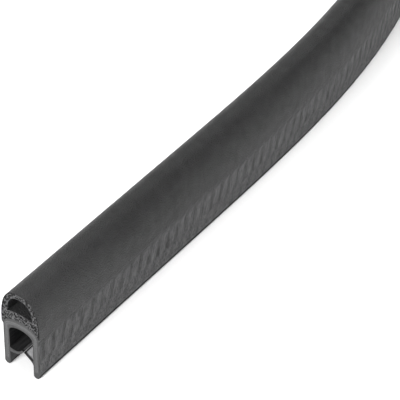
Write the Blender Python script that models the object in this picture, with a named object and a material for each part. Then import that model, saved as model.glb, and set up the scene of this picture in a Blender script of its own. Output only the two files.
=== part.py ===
"""Edge trim seal: a soft PVC clip over a steel insert, with a hollow bulb of sponge rubber on its back.

The strip stands on the feet of its clip. Its near end is square to Y, it runs along +Y, sways gently to the
left, and runs on along +Y to its far end. Sections are drawn in X and Z, with X = 0 in the middle of the
strip and Z = 0 at the feet. The origin is the middle of the strip's box, on the floor.
"""

import math

import bmesh
import bpy
from mathutils import Matrix, Vector

MM = 0.001

# The route of the strip
STRIP_LENGTH = 1000.0 * MM
STRAIGHT_LENGTH = 60.0 * MM
BEND_LENGTH = 160.0 * MM
BEND_ANGLE = math.radians(20.0)
BEND_RINGS = 10
ROUTE_STEP = 1.0 * MM

# The clip
CLIP_WIDTH = 9.2 * MM
CLIP_HEIGHT = 13.8 * MM
LEG_WALL = 1.5 * MM
SHOULDER_RISE = 2.5 * MM
ROOF_THICKNESS = 2.1 * MM
ROOF_RISE = 1.7 * MM
FOOT_OUTER_ROUND = 0.7 * MM
FOOT_INNER_ROUND = 0.6 * MM

# The two lips inside the clip
LONG_LIP_HEIGHT = 4.4 * MM
LONG_LIP_ROOT = 1.2 * MM
LONG_LIP_TIP = 0.5 * MM
LONG_LIP_LEVEL = 1.0 * MM
LONG_LIP_CURL_RADIUS = 2.8 * MM
LONG_LIP_CURL = math.radians(62.0)
THIN_LIP_HEIGHT = 4.1 * MM
THIN_LIP_THICKNESS = 0.4 * MM
THIN_LIP_FILLET = 0.6 * MM
THIN_LIP_DROP = 0.07 * MM
LIP_GAP = 0.28 * MM

# The steel insert
INSERT_THICKNESS = 0.4 * MM
INSERT_GAP = 0.1 * MM
INSERT_SIDE_COVER = 0.45 * MM
INSERT_CROWN_COVER = 0.85 * MM
INSERT_FOOT = 2.0 * MM

# The sponge bulb
BOND_GAP = 0.1 * MM
SKIRT_THICKNESS = 0.3 * MM
SKIRT_DROP = 0.1 * MM
SKIRT_TAPER = 0.4 * MM
SKIRT_HEIGHT = 1.2 * MM
BULB_RISE = 7.7 * MM
BULB_SIDE_WALL = 1.7 * MM
BULB_TOP_WALL = 1.5 * MM
SPONGE_FLOOR = 2.15 * MM
FLOOR_ARCH = 0.8 * MM
BULB_POWER = 2.5

# Segments of the round stretches
ARCH_SEGMENTS = 13
ROOF_SEGMENTS = 9
BULB_SEGMENTS = 18
CAVITY_SEGMENTS = 14
FOOT_SEGMENTS = 3
CURL_SEGMENTS = 5

# Sizes that follow
CLIP_HALF = CLIP_WIDTH / 2
CHANNEL_HALF = CLIP_HALF - LEG_WALL
SHOULDER = CLIP_HEIGHT - SHOULDER_RISE
ROOF_TOP = CLIP_HEIGHT - ROOF_THICKNESS
BULB_HALF = CLIP_HALF + BOND_GAP + SKIRT_THICKNESS
BULB_TOP = CLIP_HEIGHT + BULB_RISE


def arch(half_width, spring, rise, segments, power=2.0):
    """Points over a rounded arch from its right springing to its left one; power 2 is an ellipse."""
    points = []
    for index in range(segments + 1):
        angle = math.pi * index / segments
        across, up = math.cos(angle), max(0.0, math.sin(angle))
        x = math.copysign(abs(across) ** (2.0 / power), across) * half_width
        points.append((x, spring + rise * up ** (2.0 / power)))
    return points


def arc(centre_x, centre_z, radius, start, end, segments):
    """Points along a circular arc, with its angles in degrees from +X."""
    points = []
    for index in range(segments + 1):
        angle = math.radians(start + (end - start) * index / segments)
        points.append((centre_x + radius * math.cos(angle), centre_z + radius * math.sin(angle)))
    return points


def mirrored(points):
    """The same points on the other side of the strip, in the opposite order."""
    return [(-x, z) for x, z in reversed(points)]


def left_foot():
    """The foot of the left leg, from its outer side round to its inner side."""
    outer = min(FOOT_OUTER_ROUND, LEG_WALL / 2)
    inner = min(FOOT_INNER_ROUND, 0.45 * LEG_WALL)
    return arc(outer - CLIP_HALF, outer, outer, 180, 270, FOOT_SEGMENTS) + arc(
        -CHANNEL_HALF - inner, inner, inner, 270, 360, FOOT_SEGMENTS
    )


def long_lip():
    """The long lip on the left leg: level at its root, then curled up. Lower side, tip, upper side."""
    lower, upper = [], []
    root_x = -CHANNEL_HALF
    level_end = root_x + LONG_LIP_LEVEL
    run = LONG_LIP_LEVEL + LONG_LIP_CURL_RADIUS * LONG_LIP_CURL
    lower.append((root_x, LONG_LIP_HEIGHT - LONG_LIP_ROOT / 2))
    upper.append((root_x, LONG_LIP_HEIGHT + LONG_LIP_ROOT / 2))
    for index in range(CURL_SEGMENTS + 1):
        turn = LONG_LIP_CURL * index / CURL_SEGMENTS
        x = level_end + LONG_LIP_CURL_RADIUS * math.sin(turn)
        z = LONG_LIP_HEIGHT + LONG_LIP_CURL_RADIUS * (1 - math.cos(turn))
        share = (LONG_LIP_LEVEL + LONG_LIP_CURL_RADIUS * turn) / run
        half = (LONG_LIP_TIP + (LONG_LIP_ROOT - LONG_LIP_TIP) * (1 - share) ** 2) / 2
        lower.append((x + half * math.sin(turn), z - half * math.cos(turn)))
        upper.append((x - half * math.sin(turn), z + half * math.cos(turn)))
    return lower + upper[::-1]


def thin_lip():
    """The thin lip on the right leg, slanting up to the long lip's tip. Upper side, tip, lower side."""
    long_lip_corner = long_lip()[CURL_SEGMENTS + 1]
    root = Vector((CHANNEL_HALF, THIN_LIP_HEIGHT))
    half = THIN_LIP_THICKNESS / 2
    tip = Vector((long_lip_corner[0] + LIP_GAP, long_lip_corner[1] - THIN_LIP_DROP))
    along = (tip - root).normalized()
    over = Vector((-along.y, along.x)) * -half
    fillet_end = root + along * THIN_LIP_FILLET * 1.5
    return [
        (CHANNEL_HALF, root.y + half + THIN_LIP_FILLET),
        tuple(fillet_end + over),
        tuple(tip + over),
        tuple(tip - over),
        tuple(fillet_end - over),
        (CHANNEL_HALF, root.y - half - THIN_LIP_FILLET),
    ]


def clip_outline():
    crown = arch(CLIP_HALF, SHOULDER, SHOULDER_RISE, ARCH_SEGMENTS)
    roof = arch(CHANNEL_HALF, ROOF_TOP - ROOF_RISE, ROOF_RISE, ROOF_SEGMENTS)
    return crown + left_foot() + long_lip() + roof[::-1] + thin_lip() + mirrored(left_foot())


def insert_outline(outer_half, crown_top, thickness, foot):
    """A U on its head: the insert itself, or the slot that it lies in."""
    outer = arch(outer_half, SHOULDER, crown_top - SHOULDER, ARCH_SEGMENTS)
    inner = arch(outer_half - thickness, SHOULDER, crown_top - thickness - SHOULDER, ARCH_SEGMENTS)
    return (
        outer
        + [(-outer_half, foot), (thickness - outer_half, foot)]
        + inner[::-1]
        + [(outer_half - thickness, foot), (outer_half, foot)]
    )


def insert_slot():
    return insert_outline(
        CLIP_HALF - INSERT_SIDE_COVER,
        CLIP_HEIGHT - INSERT_CROWN_COVER,
        INSERT_THICKNESS + 2 * INSERT_GAP,
        INSERT_FOOT - INSERT_GAP,
    )


def steel_outline():
    return insert_outline(
        CLIP_HALF - INSERT_SIDE_COVER - INSERT_GAP,
        CLIP_HEIGHT - INSERT_CROWN_COVER - INSERT_GAP,
        INSERT_THICKNESS,
        INSERT_FOOT,
    )


def bulb_outline():
    spring = SHOULDER + SKIRT_HEIGHT
    dome = arch(BULB_HALF, spring, BULB_TOP - spring, BULB_SEGMENTS, BULB_POWER)
    underside = arch(CLIP_HALF + BOND_GAP, SHOULDER, SHOULDER_RISE + BOND_GAP, ARCH_SEGMENTS)
    skirt_end = SHOULDER - SKIRT_DROP
    left_skirt = [
        (-BULB_HALF, skirt_end + SKIRT_TAPER),
        (-(CLIP_HALF + BOND_GAP + SKIRT_THICKNESS / 3), skirt_end),
        (-(CLIP_HALF + BOND_GAP), skirt_end),
    ]
    return dome + left_skirt + underside[::-1] + mirrored(left_skirt)


def cavity_outline():
    half = BULB_HALF - BULB_SIDE_WALL
    floor_middle = CLIP_HEIGHT + BOND_GAP + SPONGE_FLOOR
    spring = floor_middle - FLOOR_ARCH
    dome = arch(half, spring, BULB_TOP - BULB_TOP_WALL - spring, CAVITY_SEGMENTS, BULB_POWER)
    floor = arch(half, spring, FLOOR_ARCH, ROOF_SEGMENTS)
    return dome + floor[-2:0:-1]


def ease(share):
    """Runs from 0 to 1, with an even slope that grows and then falls away."""
    share = min(max(share, 0.0), 1.0)
    return 2 * share**2 if share < 0.5 else 1 - 2 * (1 - share) ** 2


def heading(distance):
    """The strip's turn from +Y towards the left, at this distance along it."""
    share = (distance - STRAIGHT_LENGTH) / BEND_LENGTH
    return BEND_ANGLE * (ease(share) - ease(share - 1.0))


def route_frames():
    """Where the section stands at each ring: the near end, the rings of the bends, and the far end."""
    bend_step = BEND_LENGTH / BEND_RINGS
    distances = [0.0]
    distances += [STRAIGHT_LENGTH + bend_step * index for index in range(2 * BEND_RINGS + 1)]
    distances.append(STRIP_LENGTH)
    place = Vector((0.0, 0.0, 0.0))
    frames = [Matrix.Translation(place)]
    for start, end in zip(distances, distances[1:]):
        steps = max(1, round((end - start) / ROUTE_STEP))
        step = (end - start) / steps
        for index in range(steps):
            turn = heading(start + (index + 0.5) * step)
            place += Vector((-math.sin(turn), math.cos(turn), 0.0)) * step
        frames.append(Matrix.Translation(place) @ Matrix.Rotation(heading(end), 4, "Z"))
    return frames


def section_mesh(name, outlines):
    """The filled section as a mesh in X and Z. The first outline is the outside, and the others are holes."""
    curve = bpy.data.curves.new(name, "CURVE")
    curve.dimensions = "2D"
    curve.fill_mode = "BOTH"
    for points in outlines:
        spline = curve.splines.new("POLY")
        spline.points.add(len(points) - 1)
        for point, (x, z) in zip(spline.points, points):
            point.co = (x, z, 0.0, 1.0)
        spline.use_cyclic_u = True
    drawing = bpy.data.objects.new(name + "_section", curve)
    bpy.context.scene.collection.objects.link(drawing)
    graph = bpy.context.evaluated_depsgraph_get()
    mesh = bpy.data.meshes.new_from_object(drawing.evaluated_get(graph))
    bpy.data.objects.remove(drawing)
    bpy.data.curves.remove(curve)
    mesh.transform(Matrix.Rotation(math.radians(90.0), 4, "X"))
    return mesh


def strip_along_route(name, outlines, material, collection):
    """Carries a section along the route, ring by ring, and gives the closed piece."""
    mesh = section_mesh(name, outlines)
    work = bmesh.new()
    work.from_mesh(mesh)
    bmesh.ops.remove_doubles(work, verts=work.verts, dist=0.001 * MM)
    frames = route_frames()
    cap = list(work.faces)
    for before, after in zip(frames, frames[1:]):
        made = bmesh.ops.extrude_face_region(work, geom=cap, use_keep_orig=True)["geom"]
        if before is not frames[0]:
            bmesh.ops.delete(work, geom=cap, context="FACES")
        cap = [item for item in made if isinstance(item, bmesh.types.BMFace)]
        moved = [item for item in made if isinstance(item, bmesh.types.BMVert)]
        bmesh.ops.transform(work, matrix=after @ before.inverted(), verts=moved)
    bmesh.ops.recalc_face_normals(work, faces=work.faces)
    work.to_mesh(mesh)
    work.free()
    mesh.name = name
    mesh.materials.append(material)
    mesh.shade_smooth()
    mesh.set_sharp_from_angle(angle=math.radians(35.0))
    piece = bpy.data.objects.new(name, mesh)
    collection.objects.link(piece)
    return piece


def finish(name, colour, roughness, metallic):
    material = bpy.data.materials.new(name)
    material.use_nodes = True
    shader = material.node_tree.nodes["Principled BSDF"]
    shader.inputs["Base Color"].default_value = (*colour, 1.0)
    shader.inputs["Roughness"].default_value = roughness
    shader.inputs["Metallic"].default_value = metallic
    return material


def centre_on_origin(pieces):
    """Puts the middle of the strip's box over the origin. The feet already stand at Z = 0."""
    corners = [vertex.co for piece in pieces for vertex in piece.data.vertices]
    middle_x = (min(co.x for co in corners) + max(co.x for co in corners)) / 2
    middle_y = (min(co.y for co in corners) + max(co.y for co in corners)) / 2
    for piece in pieces:
        piece.location = (-middle_x, -middle_y, 0.0)


def clear_scene():
    for item in list(bpy.data.objects):
        bpy.data.objects.remove(item)


def main():
    clear_scene()
    collection = bpy.data.collections.new("edge_trim_seal")
    bpy.context.scene.collection.children.link(collection)
    soft_pvc = finish("soft_pvc", (0.105, 0.105, 0.108), 0.55, 0.0)
    sponge_rubber = finish("sponge_rubber", (0.055, 0.055, 0.056), 0.7, 0.0)
    spring_steel = finish("spring_steel", (0.42, 0.42, 0.43), 0.4, 1.0)
    centre_on_origin(
        [
            strip_along_route("clip_profile", [clip_outline(), insert_slot()], soft_pvc, collection),
            strip_along_route("steel_insert", [steel_outline()], spring_steel, collection),
            strip_along_route("sponge_bulb", [bulb_outline(), cavity_outline()], sponge_rubber, collection),
        ]
    )


main()
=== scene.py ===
"""The looks of the edge trim seal: embossed PVC clip, steel insert and sponge bulb, on white paper.

Each piece is drawn out straight, as it leaves its die, then embossed or pitted, and laid along the bend last.
Its vertices keep their place in the straight strip, in millimetres, in the attribute "straight". The finishes
read that attribute, so that their grain follows the bend.
"""

import math
import random

import bmesh
import bpy
from mathutils import Matrix, Vector, kdtree, noise


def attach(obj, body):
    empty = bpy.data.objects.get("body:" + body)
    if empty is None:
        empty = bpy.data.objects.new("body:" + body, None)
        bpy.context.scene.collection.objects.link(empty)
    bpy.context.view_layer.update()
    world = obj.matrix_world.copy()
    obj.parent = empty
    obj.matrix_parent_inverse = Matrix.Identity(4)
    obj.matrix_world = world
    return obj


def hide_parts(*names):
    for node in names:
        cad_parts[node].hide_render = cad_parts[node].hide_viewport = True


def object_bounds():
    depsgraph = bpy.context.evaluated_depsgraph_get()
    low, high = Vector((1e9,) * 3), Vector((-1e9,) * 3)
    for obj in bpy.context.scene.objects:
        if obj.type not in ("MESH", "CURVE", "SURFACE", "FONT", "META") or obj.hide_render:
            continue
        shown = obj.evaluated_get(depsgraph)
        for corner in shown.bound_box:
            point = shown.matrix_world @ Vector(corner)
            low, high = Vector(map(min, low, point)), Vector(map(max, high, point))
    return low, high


MM = 0.001

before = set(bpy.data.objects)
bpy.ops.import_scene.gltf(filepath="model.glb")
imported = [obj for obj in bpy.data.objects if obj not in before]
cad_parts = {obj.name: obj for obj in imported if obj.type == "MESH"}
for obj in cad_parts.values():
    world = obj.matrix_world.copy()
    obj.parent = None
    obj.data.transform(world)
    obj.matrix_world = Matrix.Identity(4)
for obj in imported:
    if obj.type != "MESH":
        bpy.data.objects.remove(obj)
cad_box = [list(corner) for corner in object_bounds()]

# The clip
CLIP_HALF = 4.6 * MM
CLIP_HEIGHT = 13.8 * MM
LEG_WALL = 1.5 * MM
SHOULDER_RISE = 2.5 * MM
ROOF_THICKNESS = 2.1 * MM
ROOF_RISE = 1.7 * MM
FOOT_OUTER_ROUND = 0.7 * MM
FOOT_INNER_ROUND = 0.6 * MM
CHANNEL_HALF = CLIP_HALF - LEG_WALL
SHOULDER = CLIP_HEIGHT - SHOULDER_RISE
ROOF_TOP = CLIP_HEIGHT - ROOF_THICKNESS

# The lips inside the clip
LONG_LIP_HEIGHT = 4.4 * MM
LONG_LIP_ROOT = 1.2 * MM
LONG_LIP_TIP = 0.5 * MM
LONG_LIP_LEVEL = 1.0 * MM
LONG_LIP_CURL_RADIUS = 2.8 * MM
LONG_LIP_CURL = math.radians(62.0)
THIN_LIP_HEIGHT = 4.1 * MM
THIN_LIP_THICKNESS = 0.4 * MM
THIN_LIP_FILLET = 0.6 * MM
THIN_LIP_DROP = 0.07 * MM
LIP_GAP = 0.28 * MM
LIP_CLOSING = 0.2 * MM

# The steel insert, with a hairline of room around it
INSERT_THICKNESS = 0.4 * MM
INSERT_SIDE_COVER = 0.55 * MM
INSERT_CROWN_COVER = 0.95 * MM
INSERT_FOOT = 2.0 * MM
HAIRLINE = 0.015 * MM

# The sponge bulb
BOND = 0.03 * MM
BULB_HALF = 5.0 * MM
BULB_TOP = 21.5 * MM
BULB_POWER = 2.5
SKIRT_END = SHOULDER - 0.1 * MM
SKIRT_TAPER = 0.4 * MM
SKIRT_HEIGHT = 1.2 * MM
CAVITY_HALF = BULB_HALF - 1.7 * MM
CAVITY_TOP = BULB_TOP - 1.5 * MM
CAVITY_FLOOR = CLIP_HEIGHT + 2.25 * MM
FLOOR_ARCH = 0.8 * MM

# The embossing on the clip's outer sides: nearly upright strokes in the upper row, shorter ones in the lower.
# Their top ends step up over each pitch, are a little ragged, and fade out. The lean is along over up.
STROKE_PITCH = 3.3 * MM
STROKE_COLUMNS = 7
ROWS_TOP = 10.2 * MM
TOP_TOOTH = 1.0 * MM
TOP_FADE = 1.2 * MM
TOP_RAGGED = 0.4 * MM
STROKE_LEAN = 0.2
LOWER_FORCE = 0.55
LOWER_SHORTER = 3.0
LOWER_SHIFT = 0.35
STROKE_WANDER = 0.12
STROKE_FORCE = 0.85
FORCE_SPREAD = 0.4
VALLEY_POWER = 2.5
ROW_STEP = 0.6 * MM
EMBOSS_ROWS = 17
EMBOSS_FOOT = 1.1 * MM
EMBOSS_SPLIT = 5.0 * MM
EMBOSS_SINK = 0.06 * MM
GROOVE_DEPTH = 0.16 * MM

# The pores that a cut opens in the sponge
PORE_PITCH = 0.56 * MM
PORE_SMALLEST = 0.15 * MM
PORE_LARGEST = 0.32 * MM

# The route, as the clip's solid has it
STRIP_LENGTH = 1000.0 * MM
STRAIGHT_LENGTH = 60.0 * MM
BEND_LENGTH = 160.0 * MM
BEND_ANGLE = math.radians(20.0)
ROUTE_STEP = 1.0 * MM
NEAR_END = Vector((cad_box[1][0] - BULB_HALF, cad_box[0][1], 0.0))


def ease(share):
    """Runs from 0 to 1, with an even slope that grows and then falls away."""
    share = min(max(share, 0.0), 1.0)
    return 2 * share**2 if share < 0.5 else 1 - 2 * (1 - share) ** 2


def heading(distance):
    """The strip's turn from +Y towards the left, at this distance along it."""
    share = (distance - STRAIGHT_LENGTH) / BEND_LENGTH
    return BEND_ANGLE * (ease(share) - ease(share - 1.0))


def route_places():
    """The strip's middle at every step of the route, each with the heading there."""
    place = NEAR_END.copy()
    places = [(place.copy(), 0.0)]
    for index in range(round(STRIP_LENGTH / ROUTE_STEP)):
        turn = heading((index + 0.5) * ROUTE_STEP)
        place += Vector((-math.sin(turn), math.cos(turn), 0.0)) * ROUTE_STEP
        places.append((place.copy(), heading((index + 1) * ROUTE_STEP)))
    return places


ROUTE = route_places()


def lay_along_route(work):
    """Bends the straight strip: a vertex keeps its height and its distance from the middle."""
    for vertex in work.verts:
        across, along, up = vertex.co
        step = min(max(along / ROUTE_STEP, 0.0), len(ROUTE) - 1.0)
        index = min(int(step), len(ROUTE) - 2)
        share = step - index
        middle = ROUTE[index][0].lerp(ROUTE[index + 1][0], share)
        turn = ROUTE[index][1] * (1 - share) + ROUTE[index + 1][1] * share
        vertex.co = middle + Vector((across * math.cos(turn), across * math.sin(turn), up))
        vertex.co.y = min(vertex.co.y, cad_box[1][1])


# Outlines of the sections, in X and Z


def arch(half_width, spring, rise, segments, power=2.0):
    """Points over a rounded arch from its right springing to its left one; power 2 is an ellipse."""
    points = []
    for index in range(segments + 1):
        angle = math.pi * index / segments
        across, up = math.cos(angle), max(0.0, math.sin(angle))
        x = math.copysign(abs(across) ** (2.0 / power), across) * half_width
        points.append((x, spring + rise * up ** (2.0 / power)))
    return points


def arc(centre_x, centre_z, radius, start, end, segments):
    """Points along a circular arc, with its angles in degrees from +X."""
    points = []
    for index in range(segments + 1):
        angle = math.radians(start + (end - start) * index / segments)
        points.append((centre_x + radius * math.cos(angle), centre_z + radius * math.sin(angle)))
    return points


def fillet(start, corner, end, segments):
    """Points that round off a corner, between start and end."""
    points = []
    for index in range(segments + 1):
        share = index / segments
        point = (
            Vector(start) * (1 - share) ** 2
            + Vector(corner) * 2 * share * (1 - share)
            + Vector(end) * share**2
        )
        points.append(tuple(point))
    return points


def mirrored(points):
    """The same points on the other side of the strip, in the opposite order."""
    return [(-x, z) for x, z in reversed(points)]


def left_side():
    """The embossed height of the left leg's outer side, from its top row to its bottom row."""
    return [(-CLIP_HALF, EMBOSS_FOOT + ROW_STEP * (EMBOSS_ROWS - 1 - row)) for row in range(EMBOSS_ROWS)]


def left_foot():
    outer = arc(FOOT_OUTER_ROUND - CLIP_HALF, FOOT_OUTER_ROUND, FOOT_OUTER_ROUND, 180, 270, 6)
    return outer + arc(-CHANNEL_HALF - FOOT_INNER_ROUND, FOOT_INNER_ROUND, FOOT_INNER_ROUND, 270, 360, 4)


def long_lip():
    """The long lip on the left leg: level at its root, then curled up. Lower side, tip, upper side."""
    steps = 9
    root_x = -CHANNEL_HALF
    lower = [(root_x, LONG_LIP_HEIGHT - LONG_LIP_ROOT / 2)]
    upper = [(root_x, LONG_LIP_HEIGHT + LONG_LIP_ROOT / 2)]
    run = LONG_LIP_LEVEL + LONG_LIP_CURL_RADIUS * LONG_LIP_CURL
    for index in range(steps + 1):
        turn = LONG_LIP_CURL * index / steps
        x = root_x + LONG_LIP_LEVEL + LONG_LIP_CURL_RADIUS * math.sin(turn)
        z = LONG_LIP_HEIGHT + LONG_LIP_CURL_RADIUS * (1 - math.cos(turn))
        share = (LONG_LIP_LEVEL + LONG_LIP_CURL_RADIUS * turn) / run
        half = (LONG_LIP_TIP + (LONG_LIP_ROOT - LONG_LIP_TIP) * (1 - share) ** 2) / 2
        lower.append((x + half * math.sin(turn), z - half * math.cos(turn)))
        upper.append((x - half * math.sin(turn), z + half * math.cos(turn)))
    return lower, upper


# The place of the thin lip's upper tip corner among its outline's points
THIN_LIP_CORNER = 5


def thin_lip():
    """The thin lip on the right leg, slanting up to the long lip's tip. Upper side, tip, lower side."""
    long_lip_corner = long_lip()[0][-1]
    root = Vector((CHANNEL_HALF, THIN_LIP_HEIGHT))
    half = THIN_LIP_THICKNESS / 2
    tip = Vector((long_lip_corner[0] + LIP_GAP, long_lip_corner[1] - THIN_LIP_DROP))
    along = (tip - root).normalized()
    tip += along * LIP_CLOSING
    over = Vector((-along.y, along.x)) * -half
    reach = root + along * THIN_LIP_FILLET * 1.5
    above = (CHANNEL_HALF, root.y + half + THIN_LIP_FILLET)
    below = (CHANNEL_HALF, root.y - half - THIN_LIP_FILLET)
    upper = fillet(above, tuple(root + over), tuple(reach + over), 4)
    lower = fillet(tuple(reach - over), tuple(root - over), below, 4)
    return upper + [tuple(tip + over), tuple(tip - over)] + lower


def clip_outline():
    crown = arch(CLIP_HALF, SHOULDER, SHOULDER_RISE, 16)
    roof = arch(CHANNEL_HALF, ROOF_TOP - ROOF_RISE, ROOF_RISE, 14)
    lower, upper = long_lip()
    left = left_side() + left_foot() + lower + upper[::-1]
    return crown + left + roof[::-1] + thin_lip() + mirrored(left_side() + left_foot())


def insert_outline(room):
    """The steel insert's U, or with some room around it the slot that it lies in."""
    outer_half = CLIP_HALF - INSERT_SIDE_COVER + room
    inner_half = outer_half - INSERT_THICKNESS - 2 * room
    crown = CLIP_HEIGHT - INSERT_CROWN_COVER + room
    outer = arch(outer_half, SHOULDER, crown - SHOULDER, 16)
    inner = arch(inner_half, SHOULDER, crown - INSERT_THICKNESS - 2 * room - SHOULDER, 16)
    foot = INSERT_FOOT - room
    left_end = [(-outer_half, foot), (-inner_half, foot)]
    return outer + left_end + inner[::-1] + mirrored(left_end)


def bulb_outline():
    spring = SHOULDER + SKIRT_HEIGHT
    inside = CLIP_HALF + BOND
    dome = arch(BULB_HALF, spring, BULB_TOP - spring, 110, BULB_POWER)
    underside = arch(inside, SHOULDER, SHOULDER_RISE + BOND, 50)
    skirt_top = (-BULB_HALF, SKIRT_END + SKIRT_TAPER)
    skirt = [skirt_top] + fillet(skirt_top, (-BULB_HALF, SKIRT_END), (-inside, SKIRT_END), 4)[1:]
    return dome + skirt + underside[::-1] + mirrored(skirt)


def cavity_outline():
    spring = CAVITY_FLOOR - FLOOR_ARCH
    dome = arch(CAVITY_HALF, spring, CAVITY_TOP - spring, 80, BULB_POWER)
    floor = arch(CAVITY_HALF, spring, FLOOR_ARCH, 34)
    return dome + floor[-2:0:-1]


# Drawing a strip out of its section


def draw_section(work, outlines):
    """Outlines as closed rings of edges at Y = 0, filled between the outer one and the others."""
    edges = []
    for points in outlines:
        ring = [work.verts.new((x, 0.0, z)) for x, z in points]
        edges += [work.edges.new((before, after)) for before, after in zip(ring, ring[1:] + ring[:1])]
    bmesh.ops.triangle_fill(work, edges=edges, use_beauty=True)
    return edges


def draw_out(work, edges, stations):
    """Extrudes the section's outlines from station to station, and closes the far end with its own cut."""
    cut = list(work.faces)
    far_cut = bmesh.ops.duplicate(work, geom=cut)["geom"]
    far_verts = [item for item in far_cut if isinstance(item, bmesh.types.BMVert)]
    bmesh.ops.translate(work, verts=far_verts, vec=(0.0, stations[-1], 0.0))
    for before, after in zip(stations, stations[1:]):
        drawn = bmesh.ops.extrude_edge_only(work, edges=edges)["geom"]
        edges = [item for item in drawn if isinstance(item, bmesh.types.BMEdge)]
        verts = [item for item in drawn if isinstance(item, bmesh.types.BMVert)]
        bmesh.ops.translate(work, verts=verts, vec=(0.0, after - before, 0.0))
    rim = [vertex for vertex in work.verts if vertex.co.y > stations[-1] - HAIRLINE]
    bmesh.ops.remove_doubles(work, verts=rim, dist=0.0005 * MM)


def even_stations(step):
    count = round(STRIP_LENGTH / step)
    return [STRIP_LENGTH * index / count for index in range(count + 1)]


def finish_piece(name, work, materials, choose):
    """Turns the straight strip into the finished piece, bent along the route."""
    work.normal_update()
    bmesh.ops.recalc_face_normals(work, faces=work.faces)
    straight = work.verts.layers.float_vector.new("straight")
    for vertex in work.verts:
        vertex[straight] = vertex.co / MM
    for face in work.faces:
        face.smooth = True
        face.material_index = choose(face)
    lay_along_route(work)
    mesh = bpy.data.meshes.new(name)
    work.to_mesh(mesh)
    work.free()
    mesh.set_sharp_from_angle(angle=math.radians(38.0))
    for material in materials:
        mesh.materials.append(material)
    piece = bpy.data.objects.new(name, mesh)
    bpy.context.scene.collection.objects.link(piece)
    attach(piece, "root")
    return piece


# The embossing wheel


def emboss(work):
    """Presses the strokes into the outer sides, one valley to each pitch, and marks them for the finish, with
    a groove mark that paints shade into the grooves.
    """
    groove_shade_mark = work.verts.layers.float.new("groove")
    row_mark = work.verts.layers.float.new("embossed")
    rim_mark = work.verts.layers.float.new("rim")
    stroke_mark = work.verts.layers.float_vector.new("stroke")
    for vertex in work.verts:
        across, along, up = vertex.co
        if abs(across) < CLIP_HALF - 0.001 * MM or not EMBOSS_FOOT - MM < up < SHOULDER - 0.01 * MM:
            continue
        side = math.copysign(1.0, across)
        fade_end = min(1.0, along / MM, (STRIP_LENGTH - along) / MM)
        fade_foot = min(1.0, max(0.0, (up - EMBOSS_FOOT + 0.4 * MM) / MM))
        below = max(0.0, EMBOSS_SPLIT - up)
        upper = 1.0 - min(1.0, below / (0.6 * MM))
        wander = noise.noise(Vector((along / (6 * MM), side * 11.3, up / (5 * MM))))
        upright = along - STROKE_LEAN * up
        cell = upright / STROKE_PITCH + STROKE_WANDER * wander + LOWER_SHIFT * (1 - upper)
        part = cell - math.floor(cell)
        chance = noise.noise(Vector((along / (2.2 * MM), side * 5.3, up / (4 * MM))))
        force = STROKE_FORCE + FORCE_SPREAD * chance
        valley = (0.5 + 0.5 * math.cos(2 * math.pi * part)) ** VALLEY_POWER
        groove = force * valley * (LOWER_FORCE + (1 - LOWER_FORCE) * upper)
        ragged = noise.noise(Vector((along / (1.6 * MM), side * 3.7, 2.9))) * TOP_RAGGED
        top = ROWS_TOP + TOP_TOOTH * part + ragged
        in_row = min(1.0, max(0.0, (top - up) / TOP_FADE))
        press = (groove * GROOVE_DEPTH + EMBOSS_SINK) * fade_end * fade_foot * in_row
        vertex.co.x -= side * max(0.0, press)
        # The groove mark carries painted shade: the finish uses it to darken the grooves in colour.
        vertex[groove_shade_mark] = groove * fade_foot * in_row
        vertex[row_mark] = fade_foot * in_row
        vertex[rim_mark] = 1.0 - in_row
        vertex[stroke_mark] = Vector((upright, up - LOWER_SHORTER * below, across)) / MM


def divide_sides(work):
    """Divides the outer sides along the strip, into the columns of each stroke."""
    long_edges = []
    for edge in work.edges:
        first, second = edge.verts
        outside = min(abs(first.co.x), abs(second.co.x)) > CLIP_HALF - 0.001 * MM
        inside_rows = EMBOSS_FOOT - 0.01 * MM < first.co.z < SHOULDER - 0.01 * MM
        if outside and inside_rows and abs(first.co.y - second.co.y) > MM:
            long_edges.append(edge)
    bmesh.ops.subdivide_edges(work, edges=long_edges, cuts=2 * STROKE_COLUMNS - 1)


def outline_tree(points):
    """Finds the nearest of the points, given in X and Z, in the section's plane."""
    tree = kdtree.KDTree(len(points))
    for index, (x, z) in enumerate(points):
        tree.insert((x, 0.0, z), index)
    tree.balance()
    return tree


def mark_walls(work):
    """Marks the insert's slot, so that the cut shows the flow of the PVC around it."""
    wall_mark = work.verts.layers.float.new("wall")
    tree = outline_tree(insert_outline(HAIRLINE))
    for vertex in work.verts:
        flat = Vector((vertex.co.x, 0.0, vertex.co.z))
        vertex[wall_mark] = 1.0 if tree.find(flat)[2] < 0.001 * MM else 0.0


def middles(points):
    """The middles of an outline's edges, as keys in thousandths of a millimetre."""
    pairs = zip(points, points[1:])
    return {(round((a[0] + b[0]) / 2 / MM * 1000), round((a[1] + b[1]) / 2 / MM * 1000)) for a, b in pairs}


# The clip's finishes, in the order of its material slots
MOULDED, CUT, PALE_SIDE, HIGHLIT_TIP, INNER = range(5)


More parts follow.
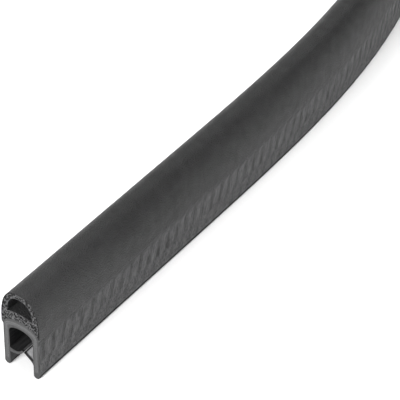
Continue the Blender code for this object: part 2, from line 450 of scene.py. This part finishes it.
def make_clip(moulded, cut, pale_side, highlit_tip, inner):
    work = bmesh.new()
    edges = draw_section(work, [clip_outline(), insert_outline(HAIRLINE)])
    draw_out(work, edges, even_stations(2 * STROKE_PITCH))
    divide_sides(work)
    mark_walls(work)
    emboss(work)
    pale = middles(thin_lip()[: THIN_LIP_CORNER + 1])
    tip = middles([side[-1] for side in long_lip()])
    lip_end = thin_lip()[THIN_LIP_CORNER][0] - 0.01 * MM

    def choose(face):
        middle = face.calc_center_median()
        if abs(face.normal.y) > 0.9:
            # Painted shade: the thin lip's cut face takes the dark inner finish instead of the cut finish.
            beside_leg = lip_end < middle.x < CHANNEL_HALF - 0.3 * MM
            on_thin_lip = beside_leg and middle.z < LONG_LIP_HEIGHT + 2 * MM
            return INNER if on_thin_lip else CUT
        inside = abs(middle.x) < CHANNEL_HALF + 0.001 * MM and middle.z < ROOF_TOP + 0.001 * MM
        # The faces low on the feet take the inner finish, for its painted shadow at the floor.
        under_foot = middle.z < EMBOSS_FOOT
        middle *= 1000 / MM
        for sideways in (-1, 0, 1):
            for upwards in (-1, 0, 1):
                key = (round(middle.x) + sideways, round(middle.z) + upwards)
                if key in pale:
                    return PALE_SIDE
                # The long lip's tip takes a lighter finish, a painted highlight.
                if key in tip:
                    return HIGHLIT_TIP
        return INNER if inside or under_foot else MOULDED

    clip = finish_piece("clip", work, [moulded, cut, pale_side, highlit_tip, inner], choose)
    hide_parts("clip_profile")
    return clip


def make_insert(steel, steel_cut):
    work = bmesh.new()
    edges = draw_section(work, [insert_outline(0.0)])
    draw_out(work, edges, even_stations(5 * MM))
    insert = finish_piece("insert", work, [steel, steel_cut], lambda face: int(abs(face.normal.y) > 0.9))
    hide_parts("steel_insert")
    return insert


# The sponge's cut face


def knit_cut(work, rim, longest):
    """Makes the triangles of a cut face small and even, inside its rim."""
    rim = set(rim)
    for _ in range(8):
        inner = [edge for edge in work.edges if edge not in rim]
        too_long = [edge for edge in inner if edge.calc_length() > longest]
        if not too_long:
            break
        bmesh.ops.subdivide_edges(work, edges=too_long, cuts=1)
        bmesh.ops.triangulate(work, faces=work.faces)
        inner = [edge for edge in work.edges if edge not in rim]
        bmesh.ops.beautify_fill(work, faces=work.faces, edges=inner)
        free = [vertex for vertex in work.verts if not vertex.is_boundary]
        bmesh.ops.smooth_vert(work, verts=free, factor=0.5, use_axis_x=True, use_axis_z=True)


def pore_tree(seed):
    """The middles of the pores that one cut opens, on a shaken grid, each with its radius."""
    chance = random.Random(seed)
    pores = []
    for row in range(round(13 * MM / PORE_PITCH)):
        for column in range(round(12 * MM / PORE_PITCH)):
            x = -6 * MM + (column + 0.5 * (row % 2) + chance.uniform(-0.32, 0.32)) * PORE_PITCH
            z = SKIRT_END + (row + chance.uniform(-0.32, 0.32)) * 0.9 * PORE_PITCH
            pores.append((x, z, chance.uniform(PORE_SMALLEST, PORE_LARGEST)))
    return outline_tree([(x, z) for x, z, _ in pores]), [radius for _, _, radius in pores]


def pit_cuts(work, skin_points, cavity_points):
    """Opens the pores on both cut faces. Marks their depth for the painted shade in them, and how far the
    skin and the cavity are.
    """
    pore_shade_mark = work.verts.layers.float.new("pore_shade")
    skin_mark = work.verts.layers.float.new("skin")
    edge_mark = work.verts.layers.float.new("edge")
    skin_tree = outline_tree([point for point in skin_points if point[1] > SKIRT_END + SKIRT_TAPER])
    cavity_tree = outline_tree(cavity_points)
    near_pores, far_pores = pore_tree(5), pore_tree(6)
    for vertex in work.verts:
        at_near, at_far = vertex.co.y < HAIRLINE, vertex.co.y > STRIP_LENGTH - HAIRLINE
        if not at_near and not at_far:
            continue
        flat = Vector((vertex.co.x, 0.0, vertex.co.z))
        to_skin, to_cavity = skin_tree.find(flat)[2], cavity_tree.find(flat)[2]
        tree, radii = near_pores if at_near else far_pores
        share = 0.0
        depth = 0.0
        for _, index, distance in tree.find_n(flat, 3):
            if distance < radii[index]:
                share = max(share, 1 - (distance / radii[index]) ** 2)
                depth = max(depth, math.sqrt(radii[index] ** 2 - distance**2))
        room = min(1.0, max(0.0, (min(to_skin, to_cavity) - 0.08 * MM) / (0.12 * MM)))
        vertex[pore_shade_mark] = share * room
        vertex[skin_mark] = to_skin / MM
        vertex[edge_mark] = to_cavity / MM
        vertex.co.y += depth * room if at_near else -depth * room


def make_bulb(skin, cut):
    work = bmesh.new()
    skin_points, cavity_points = bulb_outline(), cavity_outline()
    edges = draw_section(work, [skin_points, cavity_points])
    knit_cut(work, edges, 0.12 * MM)
    draw_out(work, edges, even_stations(8 * MM))
    outside = [(x, z) for x, z in skin_points if abs(x) > CLIP_HALF + 2 * BOND or z > CLIP_HEIGHT + MM]
    pit_cuts(work, outside, cavity_points)

    def choose(face):
        middle = face.calc_center_median()
        on_cut = middle.y < 0.6 * MM or middle.y > STRIP_LENGTH - 0.6 * MM
        return int(on_cut and abs(face.normal.y) > 0.05)

    bulb = finish_piece("bulb", work, [skin, cut], choose)
    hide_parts("sponge_bulb")
    return bulb


# Finishes


class Finish:
    """A material's nodes, made one after another, around its shader."""

    def __init__(self, name):
        self.material = bpy.data.materials.new(name)
        self.material.use_nodes = True
        self.tree = self.material.node_tree
        self.shader = self.tree.nodes["Principled BSDF"]

    def node(self, kind, **values):
        node = self.tree.nodes.new(kind)
        for key, value in values.items():
            setattr(node, key, value)
        return node

    def link(self, source, target):
        self.tree.links.new(source, target)

    def mark(self, name, output="Fac"):
        return self.node("ShaderNodeAttribute", attribute_name=name).outputs[output]

    def straight(self):
        return self.mark("straight", "Vector")

    def finished(self, colour, roughness, normal, specular):
        """The material, once its shader has its colour, roughness, normal and gloss."""
        self.link(colour, self.shader.inputs["Base Color"])
        self.link(roughness, self.shader.inputs["Roughness"])
        self.link(normal, self.shader.inputs["Normal"])
        self.shader.inputs["Specular IOR Level"].default_value = specular
        return self.material


def fed(finish, group, **values):
    """Places a shared effect in a finish and gives it its values."""
    node = finish.node("ShaderNodeGroup")
    node.node_tree = group
    for name, value in values.items():
        socket = node.inputs[name.replace("_", " ")]
        if isinstance(value, bpy.types.NodeSocket):
            finish.link(value, socket)
        else:
            socket.default_value = value
    return node


def new_group(name, inputs, outputs):
    group = bpy.data.node_groups.new(name, "ShaderNodeTree")
    for socket, kind, default in inputs:
        made = group.interface.new_socket(socket, in_out="INPUT", socket_type=kind)
        if default is not None:
            made.default_value = default
    for socket, kind in outputs:
        group.interface.new_socket(socket, in_out="OUTPUT", socket_type=kind)
    return group, group.nodes.new("NodeGroupInput"), group.nodes.new("NodeGroupOutput")


def mottle_group():
    """Soft unevenness of a moulded or foamed surface, from the place in the straight strip."""
    group, given, result = new_group(
        "Mottle",
        [
            ("Place", "NodeSocketVector", None),
            ("Grains per mm", "NodeSocketFloat", 1.0),
            ("Dark", "NodeSocketColor", (0.03, 0.03, 0.03, 1.0)),
            ("Light", "NodeSocketColor", (0.05, 0.05, 0.05, 1.0)),
            ("Dull", "NodeSocketFloat", 0.6),
            ("Shiny", "NodeSocketFloat", 0.4),
        ],
        [("Color", "NodeSocketColor"), ("Roughness", "NodeSocketFloat"), ("Height", "NodeSocketFloat")],
    )
    nodes, links = group.nodes, group.links
    grain = nodes.new("ShaderNodeTexNoise")
    grain.inputs["Detail"].default_value = 4.0
    grain.inputs["Roughness"].default_value = 0.62
    links.new(given.outputs["Place"], grain.inputs["Vector"])
    links.new(given.outputs["Grains per mm"], grain.inputs["Scale"])
    spread = nodes.new("ShaderNodeMapRange")
    spread.inputs["From Min"].default_value = 0.3
    spread.inputs["From Max"].default_value = 0.7
    links.new(grain.outputs["Fac"], spread.inputs["Value"])
    colour = nodes.new("ShaderNodeMix")
    colour.data_type = "RGBA"
    links.new(spread.outputs["Result"], colour.inputs["Factor"])
    links.new(given.outputs["Dark"], colour.inputs["A"])
    links.new(given.outputs["Light"], colour.inputs["B"])
    gloss = nodes.new("ShaderNodeMix")
    links.new(spread.outputs["Result"], gloss.inputs["Factor"])
    links.new(given.outputs["Dull"], gloss.inputs["A"])
    links.new(given.outputs["Shiny"], gloss.inputs["B"])
    links.new(colour.outputs["Result"], result.inputs["Color"])
    links.new(gloss.outputs["Result"], result.inputs["Roughness"])
    links.new(grain.outputs["Fac"], result.inputs["Height"])
    return group


def strokes_group():
    """Fine strokes as the embossing wheel leaves them, drawn out along the second coordinate, with the share
    of their hollows for painted shade.
    """
    group, given, result = new_group(
        "Strokes",
        [
            ("Place", "NodeSocketVector", None),
            ("Strokes per mm", "NodeSocketFloat", 1.0),
            ("Length ratio", "NodeSocketFloat", 0.2),
        ],
        [("Height", "NodeSocketFloat"), ("Hollow shade", "NodeSocketFloat")],
    )
    nodes, links = group.nodes, group.links
    ratio = nodes.new("ShaderNodeCombineXYZ")
    ratio.inputs["X"].default_value = 1.0
    ratio.inputs["Z"].default_value = 0.4
    links.new(given.outputs["Length ratio"], ratio.inputs["Y"])
    stretch = nodes.new("ShaderNodeVectorMath")
    stretch.operation = "MULTIPLY"
    links.new(given.outputs["Place"], stretch.inputs[0])
    links.new(ratio.outputs["Vector"], stretch.inputs[1])
    line = nodes.new("ShaderNodeTexNoise")
    line.inputs["Detail"].default_value = 4.0
    line.inputs["Roughness"].default_value = 0.7
    links.new(stretch.outputs["Vector"], line.inputs["Vector"])
    links.new(given.outputs["Strokes per mm"], line.inputs["Scale"])
    links.new(line.outputs["Fac"], result.inputs["Height"])
    # The share of the strokes' hollows, which the finish uses to paint shade into them.
    hollow_shade = nodes.new("ShaderNodeMapRange")
    hollow_shade.inputs["From Min"].default_value = 0.54
    hollow_shade.inputs["From Max"].default_value = 0.42
    links.new(line.outputs["Fac"], hollow_shade.inputs["Value"])
    links.new(hollow_shade.outputs["Result"], result.inputs["Hollow shade"])
    return group


def bump(finish, height, distance, strength=1.0, under=None):
    node = finish.node("ShaderNodeBump")
    node.inputs["Distance"].default_value = distance
    node.inputs["Strength"].default_value = strength
    finish.link(height, node.inputs["Height"])
    if under is not None:
        finish.link(under, node.inputs["Normal"])
    return node.outputs["Normal"]


def product(finish, first, second):
    """Two values multiplied; the second is a plain number or another node's value."""
    node = finish.node("ShaderNodeMath", operation="MULTIPLY", use_clamp=True)
    finish.link(first, node.inputs[0])
    if isinstance(second, bpy.types.NodeSocket):
        finish.link(second, node.inputs[1])
    else:
        node.inputs[1].default_value = second
    return node.outputs["Value"]


def falling(finish, distance, near, far):
    """1 up to the near distance, falling to 0 at the far one."""
    node = finish.node("ShaderNodeMapRange")
    node.inputs["From Min"].default_value = far
    node.inputs["From Max"].default_value = near
    finish.link(distance, node.inputs["Value"])
    return node.outputs["Result"]


def tinted(finish, colour, share, grey):
    """The colour, nearer to a grey where the share is high."""
    mix = finish.node("ShaderNodeMix", data_type="RGBA")
    mix.inputs["B"].default_value = (grey, grey, grey * 1.02, 1.0)
    finish.link(share, mix.inputs["Factor"])
    finish.link(colour, mix.inputs["A"])
    return mix.outputs["Result"]


def greys(dark, light):
    return {"Dark": (dark, dark, dark * 1.02, 1.0), "Light": (light, light, light * 1.02, 1.0)}


def moulded_pvc(mottle, strokes):
    finish = Finish("moulded PVC")
    place = finish.straight()
    in_rows = finish.mark("embossed")
    body = fed(finish, mottle, Place=place, Grains_per_mm=0.8, Dull=0.5, Shiny=0.4, **greys(0.074, 0.104))
    hatch = fed(finish, strokes, Place=finish.mark("stroke", "Vector"), Strokes_per_mm=2.7, Length_ratio=0.1)
    grain = fed(finish, mottle, Place=place, Grains_per_mm=5.0)
    normal = bump(finish, grain.outputs["Height"], 0.03 * MM)
    normal = bump(finish, product(finish, hatch.outputs["Height"], in_rows), 0.6 * MM, under=normal)
    colour = tinted(finish, body.outputs["Color"], product(finish, finish.mark("rim"), 0.8), 0.012)
    # Painted shade: the hollows of the fine strokes are darkened in colour.
    hollow_shade = product(finish, hatch.outputs["Hollow shade"], in_rows)
    colour = tinted(finish, colour, product(finish, hollow_shade, 0.72), 0.006)
    # Painted shade: the embossed grooves are darkened in colour.
    colour = tinted(finish, colour, product(finish, finish.mark("groove"), 0.7), 0.003)
    return finish.finished(colour, body.outputs["Roughness"], normal, 0.24)


def axis_of(finish, axis):
    """One of the three distances in the straight strip, in millimetres."""
    parts = finish.node("ShaderNodeSeparateXYZ")
    finish.link(finish.straight(), parts.inputs["Vector"])
    return parts.outputs[axis]


def inner_pvc(mottle):
    """The inside of the channel, matt and drawn along the strip, with painted light that makes it paler below
    the lips and painted shadow that darkens its feet.
    """
    finish = Finish("PVC inside the channel")
    along = finish.node("ShaderNodeVectorMath", operation="MULTIPLY")
    finish.link(finish.straight(), along.inputs[0])
    along.inputs[1].default_value = (1.0, 0.12, 1.0)
    place = along.outputs["Vector"]
    body = fed(finish, mottle, Place=place, Grains_per_mm=1.8, Dull=0.75, Shiny=0.5, **greys(0.006, 0.022))
    # Painted light: the inside of the channel is paler in colour below the lips.
    painted_light_below_lips = falling(finish, axis_of(finish, "Z"), 3.4, 4.0)
    colour = tinted(finish, body.outputs["Color"], product(finish, painted_light_below_lips, 0.7), 0.055)
    # Painted shadow: the feet go almost black up to about 1 mm above the floor.
    colour = tinted(finish, colour, falling(finish, axis_of(finish, "Z"), 0.75, 1.05), 0.001)
    normal = bump(finish, body.outputs["Height"], 0.12 * MM)
    return finish.finished(colour, body.outputs["Roughness"], normal, 0.12)


def cut_pvc(mottle):
    """The knife's cut through the PVC, paler where it flowed around the insert."""
    finish = Finish("cut PVC")
    place = finish.straight()
    body = fed(finish, mottle, Place=place, Grains_per_mm=1.4, Dull=0.6, Shiny=0.48, **greys(0.015, 0.026))
    flow = falling(finish, finish.mark("wall"), 1.0, 0.6)
    colour = tinted(finish, body.outputs["Color"], product(finish, flow, 0.8), 0.075)
    normal = bump(finish, body.outputs["Height"], 0.08 * MM)
    return finish.finished(colour, body.outputs["Roughness"], normal, 0.35)


def lip_finish(name, mottle, dark, light, tip):
    """A lip's finish: pale on the thin lip's upper side, lighter as a painted highlight on the long lip's
    tip, and darkened by painted shade at the cut and just before its tip.
    """
    finish = Finish(name)
    place = finish.straight()
    body = fed(finish, mottle, Place=place, Grains_per_mm=1.6, Dull=0.9, Shiny=0.75, **greys(dark, light))
    # Painted shadow: dark at the tip and just before it.
    tip_shadow = falling(finish, axis_of(finish, "X"), tip + 0.15, tip + 0.4)
    colour = tinted(finish, body.outputs["Color"], product(finish, tip_shadow, 0.95), 0.004)
    # Painted shade: dark along the near cut.
    cut_shade = falling(finish, axis_of(finish, "Y"), 0.25, 0.6)
    colour = tinted(finish, colour, product(finish, cut_shade, 0.95), 0.003)
    normal = bump(finish, body.outputs["Height"], 0.03 * MM)
    return finish.finished(colour, body.outputs["Roughness"], normal, 0.2)


def sponge_skin(mottle):
    finish = Finish("sponge skin")
    place = finish.straight()
    body = fed(finish, mottle, Place=place, Grains_per_mm=0.4, Dull=0.5, Shiny=0.42, **greys(0.0035, 0.0105))
    fine = fed(finish, mottle, Place=place, Grains_per_mm=3.0)
    broad = bump(finish, body.outputs["Height"], 0.12 * MM)
    # Painted sheen: the skin is lighter in colour near the near end, fading out between 4 and 34 mm along the
    # strip.
    near_end_sheen = falling(finish, axis_of(finish, "Y"), 4.0, 34.0)
    colour = tinted(finish, body.outputs["Color"], product(finish, near_end_sheen, 0.3), 0.045)
    normal = bump(finish, fine.outputs["Height"], 0.45 * MM, under=broad)
    return finish.finished(colour, body.outputs["Roughness"], normal, 0.35)


def sponge_cut(mottle):
    """The sponge's cut face: open pores darkened with painted shade between paler struts, with a dark skin
    around it.
    """
    finish = Finish("sponge cut")
    place = finish.straight()
    body = fed(finish, mottle, Place=place, Grains_per_mm=3.5, Dull=0.9, Shiny=0.75, **greys(0.016, 0.085))
    ring = falling(finish, finish.mark("edge"), 0.12, 0.34)
    colour = tinted(finish, body.outputs["Color"], product(finish, ring, 0.6), 0.045)
    skin = falling(finish, finish.mark("skin"), 0.18, 0.36)
    colour = tinted(finish, colour, product(finish, skin, 0.92), 0.002)
    # Painted shade: the pores go almost black towards their middles.
    pore_shade = product(finish, finish.mark("pore_shade"), 4.0)
    colour = tinted(finish, colour, product(finish, pore_shade, 0.97), 0.001)
    normal = bump(finish, body.outputs["Height"], 0.1 * MM)
    return finish.finished(colour, body.outputs["Roughness"], normal, 0.25)


def steel(name, mottle, metallic, dark, light):
    finish = Finish(name)
    place = finish.straight()
    body = fed(finish, mottle, Place=place, Grains_per_mm=2.0, Dull=0.5, Shiny=0.35, **greys(dark, light))
    finish.shader.inputs["Metallic"].default_value = metallic
    finish.link(body.outputs["Color"], finish.shader.inputs["Base Color"])
    finish.link(body.outputs["Roughness"], finish.shader.inputs["Roughness"])
    return finish.material


# The studio

CAMERA_FROM_NEAR_END = Vector((187.53, -210.1, 288.95)) * MM
CAMERA_AZIMUTH = math.radians(34.498)
CAMERA_ELEVATION = math.radians(40.749)
CAMERA_ROLL = math.radians(1.944)
CAMERA_LENS = 173.97
SENSOR_WIDTH = 36.0


def set_camera():
    data = bpy.data.cameras.new("camera")
    data.lens = CAMERA_LENS
    data.sensor_width = SENSOR_WIDTH
    data.clip_start = 10 * MM
    camera = bpy.data.objects.new("camera", data)
    turn = Matrix.Rotation(CAMERA_AZIMUTH, 4, "Z")
    tilt = Matrix.Rotation(math.radians(90.0) - CAMERA_ELEVATION, 4, "X")
    roll = Matrix.Rotation(CAMERA_ROLL, 4, "Z")
    camera.matrix_world = Matrix.Translation(NEAR_END + CAMERA_FROM_NEAR_END) @ turn @ tilt @ roll
    bpy.context.scene.collection.objects.link(camera)
    bpy.context.scene.camera = camera


def soft_light(name, place, aim, width, height, power):
    data = bpy.data.lights.new(name, "AREA")
    data.shape = "RECTANGLE"
    data.size = width
    data.size_y = height
    data.energy = power
    light = bpy.data.objects.new(name, data)
    light.location = NEAR_END + Vector(place)
    light.rotation_euler = (Vector(aim) - Vector(place)).to_track_quat("-Z", "Y").to_euler()
    bpy.context.scene.collection.objects.link(light)


# Each light with its place and aim in metres from the near end, its width, height and power
LIGHTS = [
    ("top light", (0.2, -0.2, 1.0), (0.0, 0.1, 0.0), 1.2, 1.2, 2.0),
    ("front light", (0.05, -0.9, 0.4), (0.0, 0.0, 0.0), 0.7, 0.4, 25.0),
    ("left light", (-0.9, 0.8, 0.6), (0.0, 0.1, 0.0), 1.2, 0.9, 8.2),
    ("back light", (-0.3, 1.1, 0.7), (0.0, 0.1, 0.0), 0.9, 0.6, 1.8),
    ("upper card", (-0.02, 0.235, 0.385), (0.0, 0.0, 0.0), 0.2, 0.16, 0.28),
    ("middle card", (0.15, 0.22, 0.36), (0.0, 0.0, 0.0), 0.2, 0.16, 0.33),
    ("right card", (0.33, 0.19, 0.26), (0.0, 0.0, 0.0), 0.16, 0.2, 0.38),
    ("lower card", (0.38, 0.24, 0.16), (0.0, 0.0, 0.0), 0.2, 0.16, 0.07),
]
WORLD_STRENGTH = 0.04


def set_studio():
    world = bpy.data.worlds.new("studio")
    world.use_nodes = True
    world.node_tree.nodes["Background"].inputs["Color"].default_value = (1.0, 1.0, 1.0, 1.0)
    world.node_tree.nodes["Background"].inputs["Strength"].default_value = WORLD_STRENGTH
    bpy.context.scene.world = world
    for light in LIGHTS:
        soft_light(*light)
    bpy.context.scene.view_settings.view_transform = "Standard"


def lay_floor():
    work = bmesh.new()
    bmesh.ops.create_grid(work, x_segments=2, y_segments=2, size=4.0)
    bmesh.ops.translate(work, verts=work.verts, vec=(0.0, 0.0, -0.02 * MM))
    mesh = bpy.data.meshes.new("floor")
    work.to_mesh(mesh)
    work.free()
    finish = Finish("white paper")
    grain = finish.node("ShaderNodeTexNoise")
    grain.inputs["Scale"].default_value = 900.0
    finish.link(finish.node("ShaderNodeTexCoord").outputs["Object"], grain.inputs["Vector"])
    finish.link(bump(finish, grain.outputs["Fac"], 0.02 * MM), finish.shader.inputs["Normal"])
    finish.shader.inputs["Base Color"].default_value = (0.95, 0.95, 0.95, 1.0)
    finish.shader.inputs["Roughness"].default_value = 0.9
    finish.shader.inputs["Specular IOR Level"].default_value = 0.1
    mesh.materials.append(finish.material)
    floor = bpy.data.objects.new("floor", mesh)
    bpy.context.scene.collection.objects.link(floor)


mottle = mottle_group()
strokes = strokes_group()
make_clip(
    moulded_pvc(mottle, strokes),
    cut_pvc(mottle),
    # The thin lip's upper side is coloured pale grey.
    lip_finish("pale upper side of the thin lip", mottle, 0.26, 0.45, thin_lip()[THIN_LIP_CORNER][0] / MM),
    # Painted highlight: the long lip's tip is lighter in colour.
    lip_finish("painted highlight on the long lip's tip", mottle, 0.035, 0.06, -CLIP_HALF / MM),
    inner_pvc(mottle),
)
make_insert(steel("steel", mottle, 1.0, 0.3, 0.45), steel("sheared steel", mottle, 0.0, 0.022, 0.032))
make_bulb(sponge_skin(mottle), sponge_cut(mottle))
lay_floor()
set_studio()
set_camera()
